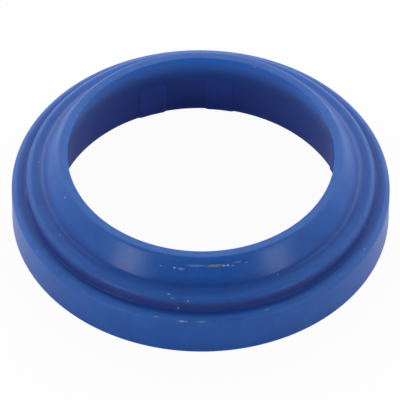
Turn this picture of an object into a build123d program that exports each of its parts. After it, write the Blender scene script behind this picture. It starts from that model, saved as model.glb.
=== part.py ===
# Wiper seal for the rod of a hydraulic cylinder, moulded in one piece from blue polyurethane.
# The seal is a ring with three steps: a square rim that is pressed into the gland's groove,
# a raised ledge, and a thin conical lip that scrapes the rod. Low pads inside the heel
# keep the ring steady on the rod.
# Millimetres. The origin is the centre of the heel face, which is flat, and +Z runs along
# the rod towards the lip.

from build123d import *

import os
from math import degrees

# Rod and groove that the seal is made for
rod_diameter = 45.0
groove_depth = 7.5              # from the rod's surface out to the groove's floor
groove_width = 7.0

# Steps of the outside, from the rim up to the lip
step_height = 2.15              # ledge above the rim
lip_height = 4.35               # lip above the ledge
rim_land = 2.0                  # flat top of the rim
step_lean = 0.6                 # how far the step's wall leans inwards
lip_flare = 2.35                # how far the lip's cone spreads from its top down to its foot

# Lip
lip_interference = 1.45         # how far the free lip reaches inside the rod's surface
lip_land = 1.7                  # width of the lip's flat top, before its outer edge is rounded

# Heel bore and its pads
heel_clearance = 0.55
heel_bore_length = 7.8
pad_clearance = 0.35
pad_width = 4.3
pad_top_gap = 0.5               # bore left bare above a pad
pad_top_slope = 1.0             # height over which a pad runs out at its top
pad_pairs = 4
pad_pair_angle = 27.6           # between the middles of the two pads of a pair, in degrees

# Rounded edges
rim_edge_radius = 1.0
lip_root_radius = 1.3
lip_edge_radius = 0.9

# Bevelled edges
heel_edge_bevel = 0.15
rim_root_bevel = 0.2
ledge_edge_bevel = 0.4
pad_edge_bevel = 0.15

# Radii and heights that follow from the sizes above
rod_radius = rod_diameter / 2
outer_radius = rod_radius + groove_depth
heel_bore_radius = rod_radius + heel_clearance
pad_radius = rod_radius + pad_clearance
wiping_radius = rod_radius - lip_interference
lip_edge_at = wiping_radius + lip_land
lip_root_at = lip_edge_at + lip_flare
step_root_at = outer_radius - rim_land
ledge_edge_at = step_root_at - step_lean
ledge_level = groove_width + step_height
lip_level = ledge_level + lip_height


def ring_section():
    """Half section of the ring: corners from the heel outwards, over the lip and down the bore."""
    heel_bore_edge = (heel_bore_radius, 0)
    heel_edge = (outer_radius, 0)
    rim_edge = (outer_radius, groove_width)
    rim_root = (step_root_at, groove_width)
    ledge_edge = (ledge_edge_at, ledge_level)
    lip_root = (lip_root_at, ledge_level)
    lip_edge = (lip_edge_at, lip_level)
    wiping_edge = (wiping_radius, lip_level)
    throat = (heel_bore_radius, heel_bore_length)
    rounded = {
        rim_edge: rim_edge_radius,
        lip_root: lip_root_radius,
        lip_edge: lip_edge_radius,
    }
    bevelled = {
        heel_bore_edge: heel_edge_bevel,
        heel_edge: heel_edge_bevel,
        rim_root: rim_root_bevel,
        ledge_edge: ledge_edge_bevel,
    }
    with BuildSketch(Plane.XZ) as section:
        with BuildLine():
            Polyline(
                heel_bore_edge,
                heel_edge,
                rim_edge,
                rim_root,
                ledge_edge,
                lip_root,
                lip_edge,
                wiping_edge,
                throat,
                close=True,
            )
        make_face()
        for corner, radius in rounded.items():
            fillet(section.vertices().sort_by_distance(corner)[0], radius)
        for corner, bevel in bevelled.items():
            chamfer(section.vertices().sort_by_distance(corner)[0], bevel)
    return section.sketch


def heel_pad():
    """One low pad, centred on +X: it stands on the bore and runs out into it at its top."""
    inside_wall = heel_bore_radius + 4 * heel_edge_bevel
    pad_top = heel_bore_length - pad_top_gap
    pad_angle = degrees(pad_width / heel_bore_radius)
    with BuildPart() as pad:
        with BuildSketch(Plane.XZ):
            with BuildLine():
                Polyline(
                    (inside_wall, 0),
                    (pad_radius, 0),
                    (pad_radius, pad_top - pad_top_slope),
                    (heel_bore_radius, pad_top),
                    (inside_wall, pad_top),
                    close=True,
                )
            make_face()
        revolve(axis=Axis.Z, revolution_arc=pad_angle)
        rod_side = pad.faces().filter_by(GeomType.CYLINDER).sort_by(lambda face: face.radius)[0]
        chamfer(rod_side.edges(), pad_edge_bevel)
    return pad.part.rotate(Axis.Z, -pad_angle / 2)


with BuildPart() as seal:
    revolve(ring_section(), axis=Axis.Z)
    pad = heel_pad()
    for pair in range(pad_pairs):
        for side in (-1, 1):
            turn = 360 / pad_pairs * pair + side * pad_pair_angle / 2
            add(pad.rotate(Axis.Z, turn))

os.makedirs("parts", exist_ok=True)
seal.part.label = "wiper_seal"
export_step(seal.part, "parts/wiper_seal.step")
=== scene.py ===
# Wiper seal in blue polyurethane, lying lip up on a white studio floor.
# Everything is in metres, in the CAD model's frame: origin at the centre of the heel, lip towards +Z.
import math

import bpy
import numpy as np
from mathutils import Matrix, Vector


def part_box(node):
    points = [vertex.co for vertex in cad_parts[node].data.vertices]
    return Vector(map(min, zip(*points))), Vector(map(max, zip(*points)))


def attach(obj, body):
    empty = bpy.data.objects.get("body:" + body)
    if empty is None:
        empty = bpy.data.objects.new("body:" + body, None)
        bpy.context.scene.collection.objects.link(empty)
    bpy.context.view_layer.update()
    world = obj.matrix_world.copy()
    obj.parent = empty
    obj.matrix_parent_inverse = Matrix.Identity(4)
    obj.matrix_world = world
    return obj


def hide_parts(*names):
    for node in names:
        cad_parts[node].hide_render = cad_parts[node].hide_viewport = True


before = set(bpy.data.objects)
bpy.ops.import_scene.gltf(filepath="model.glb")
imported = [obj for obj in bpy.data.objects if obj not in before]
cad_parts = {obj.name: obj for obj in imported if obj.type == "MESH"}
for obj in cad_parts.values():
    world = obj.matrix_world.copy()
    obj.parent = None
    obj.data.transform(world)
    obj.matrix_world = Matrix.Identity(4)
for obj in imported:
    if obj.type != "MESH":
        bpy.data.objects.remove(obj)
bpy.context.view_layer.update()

mm = 0.001
boxLow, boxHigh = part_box("wiper_seal")
outerRadius = (boxHigh.x - boxLow.x) / 2
sealHeight = boxHigh.z - boxLow.z


# One socket of a material's nodes: arithmetic on it adds Math nodes.
class Wire:
    def __init__(self, paint, socket):
        self.paint = paint
        self.socket = socket

    def maths(self, operation, *values):
        return self.paint.node("ShaderNodeMath", {"operation": operation}, dict(enumerate(values)))

    def __add__(self, other):
        return self.maths("ADD", self, other)

    def __radd__(self, other):
        return self.maths("ADD", other, self)

    def __sub__(self, other):
        return self.maths("SUBTRACT", self, other)

    def __rsub__(self, other):
        return self.maths("SUBTRACT", other, self)

    def __mul__(self, other):
        return self.maths("MULTIPLY", self, other)

    def __rmul__(self, other):
        return self.maths("MULTIPLY", other, self)

    def root(self):
        return self.maths("SQRT", self)

    def larger(self, other):
        return self.maths("MAXIMUM", self, other)

    # held between 0 and 1
    def clip(self):
        return self.paint.node("ShaderNodeClamp", {}, {"Value": self})

    # 0 at low, 1 at high, and smooth between them; low may be the larger of the two
    def step(self, low, high):
        return self.paint.node(
            "ShaderNodeMapRange",
            {"interpolation_type": "SMOOTHSTEP"},
            {"Value": self, "From Min": low, "From Max": high, "To Min": 0.0, "To Max": 1.0},
        )


# One material or world. Every node comes from node(), which takes its type, its settings, and its
# sockets' values or wires.
class Paint:
    def __init__(self, tree):
        self.tree = tree
        self.tree.nodes.clear()

    def node(self, kind, settings=None, sockets=None, output=0):
        made = self.tree.nodes.new(kind)
        for name, value in (settings or {}).items():
            setattr(made, name, value)
        for name, value in (sockets or {}).items():
            if isinstance(value, Wire):
                self.tree.links.new(value.socket, made.inputs[name])
            else:
                made.inputs[name].default_value = value
        return Wire(self, made.outputs[output]) if made.outputs else made

    def vector(self, operation, first, second, output="Vector"):
        return self.node("ShaderNodeVectorMath", {"operation": operation}, {0: first, 1: second}, output)

    def axes(self, place):
        return [self.node("ShaderNodeSeparateXYZ", {}, {"Vector": place}, output=axis) for axis in "XYZ"]

    def noise(self, place, scale, detail, roughness):
        return self.node("ShaderNodeTexNoise", {}, {
            "Vector": place,
            "Scale": scale,
            "Detail": detail,
            "Roughness": roughness,
        })

    # colours are sockets 6 and 7 of a Mix node, and its output 2
    def mix(self, share, first, second):
        return self.node(
            "ShaderNodeMix",
            {"data_type": "RGBA"},
            {"Factor": share, 6: first, 7: second},
            output=2,
        )

    # how much plain white shows: one share for the camera, one for a gloss or a clear thing
    def whiteShare(self, seen, mirrored):
        camera, gloss, clear = (
            self.node("ShaderNodeLightPath", output=f"Is {kind} Ray")
            for kind in ("Camera", "Glossy", "Transmission")
        )
        return (camera * seen).larger(gloss.larger(clear) * mirrored)


ring = {
    "rimHeight": 7.0 * mm,
    "rimEdge": 1.0 * mm,            # this and each other edge, root and throat: a radius of rounding
    "rimLand": 2.0 * mm,
    "rimRoot": 0.12 * mm,
    "ledgeHeight": 9.15 * mm,
    "ledgeLean": 0.6 * mm,
    "ledgeEdge": 0.9 * mm,
    "lipRoot": 1.4 * mm,
    "lipFoot": 25.1 * mm,           # radius at which the lip's cone meets the ledge
    "lipEdgeAt": 22.58 * mm,        # and at which it meets the lip's flat top
    "lipEdge": 0.55 * mm,
    "wipingRadius": 21.05 * mm,
    "wipingEdge": 0.08 * mm,
    "boreRadius": 23.05 * mm,
    "boreHeight": 7.8 * mm,
    "throat": 11.0 * mm,
    "heelEdge": 0.1 * mm,
    "arcPoints": 9,
    "profilePoints": 170,
    "columns": 480,
}
pads = {
    "pairs": 4,
    "apart": 27.6,                  # degrees between the middles of the two pads of a pair
    "width": 4.3 * mm,
    "height": 0.2 * mm,
    "flank": 0.6 * mm,
    "flankColumns": 5,
    "top": 7.3 * mm,
    "slope": 1.0 * mm,
    "fade": (0.35 * mm, 0.05 * mm),     # how far outside the bore a pad is gone, and is whole
}


# Rounds one corner of an outline: the arc of the given radius that touches both sides, as
# centre + radius * direction, the direction going evenly from one side's normal to the other's.
def roundedCorner(before, corner, after, radius):
    before, corner, after = (np.array(point) for point in (before, corner, after))
    toBefore = (before - corner) / np.linalg.norm(before - corner)
    toAfter = (after - corner) / np.linalg.norm(after - corner)
    middle = toBefore + toAfter
    middle /= np.linalg.norm(middle)
    halfAngle = math.acos(np.clip(np.dot(toBefore, toAfter), -1, 1)) / 2
    centre = corner + middle * radius / math.sin(halfAngle)
    reach = radius / math.tan(halfAngle)
    start = corner + toBefore * reach - centre
    end = corner + toAfter * reach - centre
    turn = math.pi - 2 * halfAngle
    share = np.linspace(0, 1, ring["arcPoints"])[:, None]
    return centre + (np.sin((1 - share) * turn) * start + np.sin(share * turn) * end) / math.sin(turn)


# The ring's section as one closed line of (radius, height), from the heel outwards, over the lip and
# down the bore: straight runs between corners, each corner an arc.
def ringProfile(count):
    corners = [
        (ring["boreRadius"], 0, ring["heelEdge"]),
        (outerRadius, 0, ring["heelEdge"]),
        (outerRadius, ring["rimHeight"], ring["rimEdge"]),
        (outerRadius - ring["rimLand"], ring["rimHeight"], ring["rimRoot"]),
        (outerRadius - ring["rimLand"] - ring["ledgeLean"], ring["ledgeHeight"], ring["ledgeEdge"]),
        (ring["lipFoot"], ring["ledgeHeight"], ring["lipRoot"]),
        (ring["lipEdgeAt"], sealHeight, ring["lipEdge"]),
        (ring["wipingRadius"], sealHeight, ring["wipingEdge"]),
        (ring["boreRadius"], ring["boreHeight"], ring["throat"]),
    ]
    places = [corner[:2] for corner in corners]
    radii = [corner[2] for corner in corners]
    arcs = [
        roundedCorner(places[index - 1], place, places[(index + 1) % len(places)], radii[index])
        for index, place in enumerate(places)
    ]
    return spreadAlong(np.concatenate(arcs), count)


# Keeps every point of a closed line and shares the rest of the count out over its long runs: each run
# gets as many equal pieces as keep them all under one length, which grows until the count is enough.
def spreadAlong(line, count):
    following = np.roll(line, -1, axis=0)
    lengths = np.linalg.norm(following - line, axis=1)
    longest = lengths.sum() / count
    growth = 1.01
    while np.ceil(lengths / longest).sum() > count:
        longest *= growth
    pieces = np.ceil(lengths / longest).astype(int)
    start = np.repeat(np.arange(len(line)), pieces)
    within = np.arange(len(start)) - np.repeat(np.cumsum(pieces) - pieces, pieces)
    share = (within / pieces[start])[:, None]
    return line[start] * (1 - share) + following[start] * share


# The angles of the pads' middles: the pairs go evenly round, and each pad lies half of "apart" from
# its pair's middle.
def padAngles():
    half = math.radians(pads["apart"]) / 2
    return [
        2 * math.pi * pair / pads["pairs"] + side * half
        for pair in range(pads["pairs"])
        for side in (-1, 1)
    ]


# Angles round the ring, even all round with a few more at each pad's two flanks.
def ringAngles():
    angles = [np.linspace(0, 2 * np.pi, ring["columns"], endpoint=False)]
    halfWidth = pads["width"] / ring["boreRadius"] / 2
    halfFlank = pads["flank"] / ring["boreRadius"] / 2
    for centre in padAngles():
        for side in (-1, 1):
            edge = centre + side * halfWidth
            angles.append(np.linspace(edge - halfFlank, edge + halfFlank, pads["flankColumns"]))
    return np.unique(np.round(np.mod(np.concatenate(angles), 2 * np.pi), 6))


# 0 at low, 1 at high, and share² * (3 - 2 * share) between them.
def smooth(value, low, high):
    share = np.clip((value - low) / (high - low), 0, 1)
    return share * share * (3 - 2 * share)


# How far the bore stands in at an angle and a height: the pads' height, times a share that falls
# smoothly to 0 across a flank, one that falls evenly to 0 up the slope, and one that is 0 off the bore.
def padHeight(angle, radius, height):
    raised = np.zeros_like(angle)
    foot = (pads["width"] + pads["flank"]) / 2
    for centre in padAngles():
        away = np.abs(np.angle(np.exp(1j * (angle - centre)))) * ring["boreRadius"]
        raised = np.maximum(raised, smooth(away, foot, foot - pads["flank"]))
    slopeFrom = pads["top"] - pads["slope"]
    upTo = 1 - np.clip((height - slopeFrom) / pads["slope"], 0, 1)
    gone, whole = pads["fade"]
    onBore = smooth(radius, ring["boreRadius"] + gone, ring["boreRadius"] + whole)
    return pads["height"] * raised * upTo * onBore


# The ring: its profile carried round the Z axis, x = r cos(angle), y = r sin(angle), where r is the
# profile's radius less the pads' height on the bore.
def ringMesh():
    profile = ringProfile(ring["profilePoints"])
    angles = ringAngles()
    radius = np.repeat(profile[:, :1], len(angles), axis=1)
    height = np.repeat(profile[:, 1:], len(angles), axis=1)
    angle = np.repeat(angles[None, :], len(profile), axis=0)
    radius = radius - padHeight(angle, radius, height)
    return closedGrid("wiper_seal_ring", radius * np.cos(angle), radius * np.sin(angle), height)


# A grid of points closed in both directions, as a mesh of four-sided faces.
def closedGrid(name, x, y, z):
    rows, columns = x.shape
    index = np.arange(rows * columns).reshape(rows, columns)
    corners = np.stack([
        index,
        np.roll(index, -1, axis=1),
        np.roll(np.roll(index, -1, axis=0), -1, axis=1),
        np.roll(index, -1, axis=0),
    ], axis=-1).reshape(-1, 4)
    mesh = bpy.data.meshes.new(name)
    mesh.vertices.add(rows * columns)
    mesh.vertices.foreach_set("co", np.stack([x, y, z], axis=-1).astype(np.float32).ravel())
    mesh.loops.add(corners.size)
    mesh.loops.foreach_set("vertex_index", corners.astype(np.int32).ravel())
    mesh.polygons.add(len(corners))
    mesh.polygons.foreach_set("loop_start", np.arange(0, corners.size, 4, dtype=np.int32))
    mesh.polygons.foreach_set("use_smooth", np.ones(len(corners), dtype=bool))
    mesh.update(calc_edges=True)
    mesh.validate()
    made = bpy.data.objects.new(name, mesh)
    bpy.context.collection.objects.link(made)
    return made


polyurethane = {
    "deep": (0.011, 0.086, 0.380, 1),
    "bright": (0.012, 0.099, 0.420, 1),
    # painted fill light: the lower bore paler and redder than the rest, as lit by the floor
    "bore": (0.036, 0.092, 0.400, 1),
    # painted light: the pads' faces a paler blue than the bore around them, as lit faces
    "pad": (0.040, 0.105, 0.450, 1),
    # painted shade: a deeper, duller blue laid into the groove and the lip's root
    "paintedShade": (0.010, 0.026, 0.190, 1),
    # paler blue on the edges and the lip's flat top: partly wear, partly painted highlight
    "edge": (0.050, 0.160, 0.430, 1),
    # painted glow: light through the thin lip, laid in as a brighter blue near its top inside
    "lip": (0.012, 0.195, 0.720, 1),
    "chalk": (0.42, 0.47, 0.52, 1),
    "ochre": (0.25, 0.28, 0.20, 1),
    "roughness": 0.30,
    "roughnessCloud": 0.05,
    "roughnessMark": 0.4,
    "roughnessWorn": 0.5,
    "gloss": 0.24,
    "sheen": 0.1,                   # the dusty bloom at a glancing view
    "sheenRoughness": 0.4,
    "subsurface": 0.3,
    "subsurfaceScale": 1.2 * mm,
    "subsurfaceRadius": (0.3, 0.6, 1.2),
    # scale, detail and roughness of each noise, then the values between which it takes hold
    "clouds": (260.0, 3.0, 0.6),
    "cloudRange": (0.35, 0.65),
    "scuffs": (900.0, 4.0, 0.7),
    "scuffRange": (0.25, 0.75),
    "scuffLeast": 0.5,              # wear and painted highlight between the scuffs
    "crumbs": (5200.0, 2.0, 0.6),
    "crumbRange": (0.30, 0.55),
    "grain": (2600.0, 2.0, 0.5),
    "bump": 0.05,
    "bumpDepth": 0.2 * mm,
    "markRise": 2.0,                # how far a mark stands up, against the grain
    # heights between which the thin lip's painted glow and the bore's painted paler tone come in
    "lipGlow": (7.4 * mm, 11.8 * mm),
    "lipGlowEnd": (0.1 * mm, -0.3 * mm),    # heights above the top: the glow is gone, and is whole
    "paintedBoreLight": (10.0 * mm, 4.5 * mm),
    # distances outside the inner face, and shares of the pads' height, between which each tone comes in
    "innerSkin": (0.27 * mm, 0.07 * mm),
    "padSkin": (-0.4 * pads["height"], -0.9 * pads["height"]),
    # radius, height, reach and share of the rings of painted shade, where the blue is deeper, then of those
    # where it is paler
    "paintedShadeRings": (
        (27.75 * mm, 7.7 * mm, 1.7 * mm, 0.92),
        (24.80 * mm, 9.6 * mm, 1.8 * mm, 0.35),
    ),
    # rings of paler blue: wear, and painted highlight on the ledge and rim edges and the lip's flat top
    "edges": (
        (27.2 * mm, 8.9 * mm, 0.8 * mm, 0.25),
        (29.7 * mm, 6.7 * mm, 1.0 * mm, 0.35),
        (22.0 * mm, 13.5 * mm, 1.4 * mm, 0.35),
    ),
}

# Chalky specks and streaks, and one ochre smear. Each has its angle in degrees, its radius and height in mm,
# half its length round the ring and half its width in mm, and its strength.
marks = {
    "chalk": [
        (248.55, 23.63, 11.88, 0.20, 0.15, 0.35), (253.80, 23.61, 11.92, 0.20, 0.20, 1.00),
        (256.40, 23.62, 11.86, 0.60, 0.22, 0.40), (261.90, 23.30, 12.48, 1.60, 0.17, 0.45),
        (272.70, 23.38, 12.34, 0.24, 0.20, 0.90), (274.20, 23.40, 12.30, 0.24, 0.17, 1.00),
        (276.15, 23.45, 12.20, 0.18, 0.15, 0.60), (278.20, 23.24, 12.58, 0.70, 0.12, 0.40),
        (281.55, 23.42, 12.27, 0.25, 0.16, 0.35), (292.35, 25.15, 9.30, 0.20, 0.15, 0.50),
        (253.20, 26.64, 9.15, 0.26, 0.20, 0.70), (254.55, 27.32, 9.08, 0.45, 0.15, 0.35),
        (259.80, 27.49, 8.84, 0.20, 0.16, 0.60), (256.65, 27.85, 7.53, 0.20, 0.20, 0.60),
        (180.40, 27.80, 7.60, 1.10, 0.13, 0.80), (250.50, 29.62, 6.78, 0.50, 0.15, 0.50),
        (258.50, 29.76, 6.65, 0.75, 0.16, 0.80), (264.10, 29.74, 6.67, 0.85, 0.12, 0.45),
        (284.50, 29.22, 6.97, 0.50, 0.15, 0.40), (204.15, 29.81, 6.58, 0.26, 0.20, 0.45),
        (205.80, 25.96, 9.15, 0.20, 0.16, 0.45), (169.35, 25.80, 9.15, 0.26, 0.16, 0.60),
        (196.80, 23.19, 12.69, 0.22, 0.20, 0.60), (60.20, 21.14, 13.35, 0.40, 0.15, 0.60),
        (49.05, 22.84, 13.30, 0.40, 0.20, 1.00), (21.00, 23.11, 12.83, 0.26, 0.20, 0.60),
        (324.75, 29.43, 6.90, 0.26, 0.20, 0.45), (332.40, 27.85, 7.53, 0.20, 0.20, 0.45),
    ],
    "ochre": [(269.10, 23.32, 12.44, 1.25, 0.24, 1.00)],
}
markSpread = 1.15       # how much longer and wider every mark is than listed
markSection = 1500      # points of the section that the marks are set down on


# The point of the ring's section that is nearest to a radius and a height.
def onSection(section, radius, height):
    away = np.hypot(section[:, 0] - radius, section[:, 1] - height)
    return section[np.argmin(away)]


# How strongly the marks of one kind show at a place. Inside a mark it is strength * (1 - d2), where d2 is
# across² / halfWidth² + along² / halfLength², measured from its centre.
def markShare(paint, place, section, kind):
    share = 0.0
    for angle, radius, height, halfLength, halfWidth, strength in marks[kind]:
        angle = math.radians(angle)
        radius, height = onSection(section, radius * mm, height * mm)
        centre = (radius * math.cos(angle), radius * math.sin(angle), height)
        along = (-math.sin(angle), math.cos(angle), 0)
        acrossScale = 1 / (halfWidth * markSpread * mm) ** 2
        alongScale = 1 / (halfLength * markSpread * mm) ** 2
        away = paint.vector("SUBTRACT", place, centre)
        run = paint.vector("DOT_PRODUCT", away, along, output="Value")
        distance2 = paint.vector("DOT_PRODUCT", away, away, output="Value") * acrossScale
        distance2 = distance2 - run * run * (acrossScale - alongScale)
        share = (strength - distance2 * strength).larger(share)
    return share


def polyurethaneMaterial():
    material = bpy.data.materials.new("blue_polyurethane")
    material.use_nodes = True
    paint = Paint(material.node_tree)
    place = paint.node("ShaderNodeTexCoord", output="Object")
    x, y, z = paint.axes(place)
    radius = (x * x + y * y).root()

    # on each circle its share, fading to 0 a reach away from it
    def nearRings(rings):
        found = 0.0
        for atRadius, atHeight, reach, share in rings:
            out, up = radius - atRadius, z - atHeight
            found = ((out * out + up * up).root().step(reach, 0.0) * share).larger(found)
        return found

    # 1 on the lip's inner face and the bore, 0 on the outside
    lean = (ring["boreRadius"] - ring["wipingRadius"]) / (sealHeight - ring["boreHeight"])
    innerFace = (sealHeight - z) * lean + ring["wipingRadius"]
    inside = (radius - innerFace).step(*polyurethane["innerSkin"])
    belowTop = (z - sealHeight).step(*polyurethane["lipGlowEnd"])
    # painted glow near the top of the lip's inner face
    lipGlow = inside * z.step(*polyurethane["lipGlow"]) * belowTop
    # the lower bore painted paler towards the heel, as lit by the floor
    bore = inside * z.step(*polyurethane["paintedBoreLight"])
    padFront = (radius - ring["boreRadius"]).step(*polyurethane["padSkin"])
    # the pads' faces painted paler, as lit
    paintedLitPad = padFront * z.step(pads["top"], pads["top"] - pads["slope"])

    clouds = paint.noise(place, *polyurethane["clouds"])
    scuffs = paint.noise(place, *polyurethane["scuffs"]).step(*polyurethane["scuffRange"])
    # the paler edges: wear together with painted highlight
    wornAndHighlit = nearRings(polyurethane["edges"]) * (scuffs + polyurethane["scuffLeast"])
    cloudy = clouds.step(*polyurethane["cloudRange"])
    colour = paint.mix(cloudy, polyurethane["deep"], polyurethane["bright"])
    # painted shade in the groove and at the lip's root
    colour = paint.mix(nearRings(polyurethane["paintedShadeRings"]), colour, polyurethane["paintedShade"])
    # painted light on the lower bore and the pads' faces
    colour = paint.mix(bore, colour, paint.mix(paintedLitPad, polyurethane["bore"], polyurethane["pad"]))
    colour = paint.mix(wornAndHighlit, colour, polyurethane["edge"])
    colour = paint.mix(lipGlow, colour, polyurethane["lip"])

    section = ringProfile(markSection)
    broken = paint.noise(place, *polyurethane["crumbs"]).step(*polyurethane["crumbRange"])
    chalk = (markShare(paint, place, section, "chalk") * broken).clip()
    ochre = (markShare(paint, place, section, "ochre") * broken).clip()
    colour = paint.mix(chalk, colour, polyurethane["chalk"])
    colour = paint.mix(ochre, colour, polyurethane["ochre"])
    marked = chalk.larger(ochre)

    grain = paint.noise(place, *polyurethane["grain"])
    bump = paint.node("ShaderNodeBump", {}, {
        "Height": grain + marked * polyurethane["markRise"],
        "Strength": polyurethane["bump"],
        "Distance": polyurethane["bumpDepth"],
    })
    roughness = polyurethane["roughness"] + (clouds - 0.5) * polyurethane["roughnessCloud"]
    roughness = roughness + wornAndHighlit * polyurethane["roughnessWorn"]
    surface = paint.node("ShaderNodeBsdfPrincipled", {"subsurface_method": "RANDOM_WALK"}, {
        "Base Color": colour,
        "Roughness": roughness + marked * polyurethane["roughnessMark"],
        "Normal": bump,
        "Specular IOR Level": polyurethane["gloss"],
        "Sheen Weight": polyurethane["sheen"],
        "Sheen Roughness": polyurethane["sheenRoughness"],
        "Subsurface Weight": polyurethane["subsurface"],
        "Subsurface Radius": polyurethane["subsurfaceRadius"],
        "Subsurface Scale": polyurethane["subsurfaceScale"],
    })
    paint.node("ShaderNodeOutputMaterial", {}, {"Surface": surface})
    return material


seal = ringMesh()
seal.data.materials.append(polyurethaneMaterial())
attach(seal, "root")
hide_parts("wiper_seal")
print("ring made:", len(seal.data.polygons), "faces")


floor = {
    "size": 6.0,
    "drop": 0.02 * mm,              # keeps the floor from cutting into the heel's face
    "colour": (0.85, 0.85, 0.86, 1),
    # painted shadow: inside the ring the floor is darker, and a gloss sees less white of it
    "ringShadowColour": (0.55, 0.55, 0.56, 1),
    "ringShadowZone": (23.5 * mm, 21.5 * mm),   # radii between which the ring's painted shadow on the floor inside it takes over
    "seen": 0.955,                  # share of plain white that the camera sees
    "mirrored": 0.20,               # the same for a gloss or a clear thing
    "ringShadowMirrored": 0.16,
}


# Lit like paper, white to the camera from above, and not there to a camera below it; inside the ring a
# painted shadow makes it darker.
def floorMaterial():
    material = bpy.data.materials.new("studio_floor")
    material.use_nodes = True
    paint = Paint(material.node_tree)
    place = paint.node("ShaderNodeTexCoord", output="Object")
    distance = paint.vector("LENGTH", place, (0, 0, 0), output="Value")
    # the ring's painted shadow on the floor inside it
    ringShadowZone = distance.step(*floor["ringShadowZone"])
    mirrored = floor["mirrored"] - ringShadowZone * (floor["mirrored"] - floor["ringShadowMirrored"])
    colour = paint.mix(ringShadowZone, floor["colour"], floor["ringShadowColour"])
    lit = paint.node("ShaderNodeBsdfDiffuse", {}, {"Color": colour})
    white = paint.node("ShaderNodeEmission", {}, {"Color": (1, 1, 1, 1), "Strength": 1.0})
    seen = paint.whiteShare(floor["seen"], mirrored)
    both = paint.node("ShaderNodeMixShader", {}, {0: seen, 1: lit, 2: white})
    cameraRay = paint.node("ShaderNodeLightPath", output="Is Camera Ray")
    fromBelow = paint.node("ShaderNodeNewGeometry", output="Backfacing") * cameraRay
    clear = paint.node("ShaderNodeBsdfTransparent")
    oneSided = paint.node("ShaderNodeMixShader", {}, {0: fromBelow, 1: both, 2: clear})
    paint.node("ShaderNodeOutputMaterial", {}, {"Surface": oneSided})
    return material


# One square face under the seal.
def floorPlane():
    half = floor["size"] / 2
    corners = [(x * half, y * half, -floor["drop"]) for x, y in ((-1, -1), (1, -1), (1, 1), (-1, 1))]
    mesh = bpy.data.meshes.new("studio_floor")
    mesh.from_pydata(corners, [], [(0, 1, 2, 3)])
    made = bpy.data.objects.new("studio_floor", mesh)
    bpy.context.collection.objects.link(made)
    made.data.materials.append(floorMaterial())
    return made


floorPlane()

studioTurn = math.radians(-6.5)     # by which sky, lamps and camera go round, to meet the pads as seen

sky = {
    # strength near the horizon, half-way up and overhead
    "back": (1.6, 3.1, 0.27),
    "beside": (1.4, 0.1, 0.13),
    "front": (0.46, 0.02, 0.0),
    # parts of a direction of length 1, backward or upward, between which each zone comes in
    "backRange": (0.1, 0.5),
    "frontRange": (-0.2, -0.6),
    "lowRange": (0.27, 0.17),
    "highRange": (0.47, 0.63),
    "mirrored": 0.15,               # share of plain white that a gloss sees
}


# The sky of a light tent: bright low down behind and beside the seal, dim overhead and in front.
def studioWorld():
    world = bpy.data.worlds.new("studio")
    world.use_nodes = True
    bpy.context.scene.world = world
    paint = Paint(world.node_tree)
    x, y, z = paint.axes(paint.node("ShaderNodeTexCoord", output="Generated"))
    backward = y * math.cos(studioTurn) - x * math.sin(studioTurn)
    back = backward.step(*sky["backRange"])
    front = backward.step(*sky["frontRange"])
    low = z.step(*sky["lowRange"])
    high = z.step(*sky["highRange"])
    middle = 1 - low - high
    light = 0.0
    for zone, name in ((back, "back"), (1 - back - front, "beside"), (front, "front")):
        atHorizon, halfWay, overhead = sky[name]
        light = light + zone * (low * atHorizon + middle * halfWay + high * overhead)
    glow = paint.node("ShaderNodeBackground", {}, {"Color": (1, 1, 1, 1), "Strength": light})
    white = paint.node("ShaderNodeBackground", {}, {"Color": (1, 1, 1, 1), "Strength": 1.0})
    seen = paint.whiteShare(1.0, sky["mirrored"])
    both = paint.node("ShaderNodeMixShader", {}, {0: seen, 1: glow, 2: white})
    paint.node("ShaderNodeOutputWorld", {}, {"Surface": both})


studioWorld()
print("floor and sky made")


# A point given by its angle round the Z axis, its angle up from the floor and its distance.
def aroundSeal(angle, up, distance, centre=(0, 0, 0)):
    angle = math.radians(angle) + studioTurn
    up = math.radians(up)
    return np.array(centre) + distance * np.array([
        math.cos(angle) * math.cos(up),
        math.sin(angle) * math.cos(up),
        math.sin(up),
    ])


# Puts a lamp or camera at a place and turns it to look at a target, its own x axis level, and then
# rolls it.
def putAt(made, place, target, roll=0):
    away = np.array(place) - np.array(target)
    away /= np.linalg.norm(away)
    right = np.cross((0, 0, 1), away)
    right /= np.linalg.norm(right)
    up = np.cross(away, right)
    matrix = np.eye(4)
    matrix[:3, 0] = math.cos(roll) * right + math.sin(roll) * up
    matrix[:3, 1] = -math.sin(roll) * right + math.cos(roll) * up
    matrix[:3, 2] = away
    matrix[:3, 3] = place
    made.matrix_world = Matrix(matrix.tolist())


lampAim = (0, 0, 6 * mm)
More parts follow.
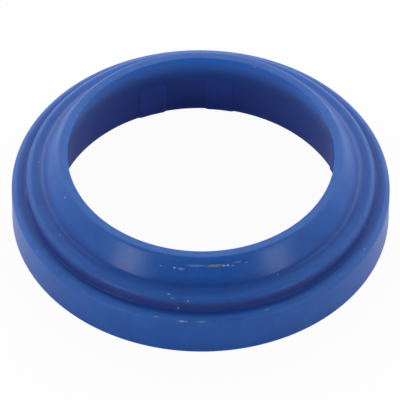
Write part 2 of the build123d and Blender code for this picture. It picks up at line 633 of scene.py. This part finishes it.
# angles in degrees, distances and sizes in metres, power in watts
lamps = {
    "front_left_softbox": {"angle": 223, "up": 14, "distance": 0.75, "size": (0.21, 0.32), "power": 1.45},
    "front_right_softbox": {"angle": 320, "up": 14, "distance": 0.75, "size": (0.165, 0.32), "power": 1.03},
    "back_high_panel": {"angle": 90, "up": 40, "distance": 1.3, "size": (1.6, 0.55), "power": 3.15},
    "left_high_panel": {"angle": 172, "up": 42, "distance": 1.2, "size": (0.7, 0.6), "power": 2.0},
    "right_high_panel": {"angle": 8, "up": 42, "distance": 1.2, "size": (0.7, 0.6), "power": 2.2},
    "overhead_panel": {"angle": 90, "up": 84, "distance": 1.2, "size": (1.7, 1.7), "power": 2.6},
}
for name, lamp in lamps.items():
    light = bpy.data.lights.new(name, "AREA")
    light.shape = "RECTANGLE"
    light.size, light.size_y = lamp["size"]
    light.energy = lamp["power"]
    holder = bpy.data.objects.new(name, light)
    bpy.context.collection.objects.link(holder)
    putAt(holder, aroundSeal(lamp["angle"], lamp["up"], lamp["distance"]), lampAim)

view = {
    "angle": 270,
    "up": 46.58,
    "distance": 0.9,
    "beside": -0.096 * mm,          # from the Z axis to the point looked at, across the view
    "behind": 2.586 * mm,           # and away from the camera
    "roll": 0.6,
    "lens": 506.97,                 # in mm, as the sensor's width
    "sensor": 36,
    "clip": (0.05, 20),
}
camera = bpy.data.cameras.new("camera")
camera.lens = view["lens"]
camera.sensor_width = view["sensor"]
camera.clip_start, camera.clip_end = view["clip"]
cameraObject = bpy.data.objects.new("camera", camera)
bpy.context.collection.objects.link(cameraObject)
target = (
    math.cos(studioTurn) * view["beside"] - math.sin(studioTurn) * view["behind"],
    math.sin(studioTurn) * view["beside"] + math.cos(studioTurn) * view["behind"],
    0,
)
cameraPlace = aroundSeal(view["angle"], view["up"], view["distance"], target)
putAt(cameraObject, cameraPlace, target, math.radians(view["roll"]))
bpy.context.scene.camera = cameraObject
bpy.context.scene.view_settings.view_transform = "Standard"
print("lamps and camera set")
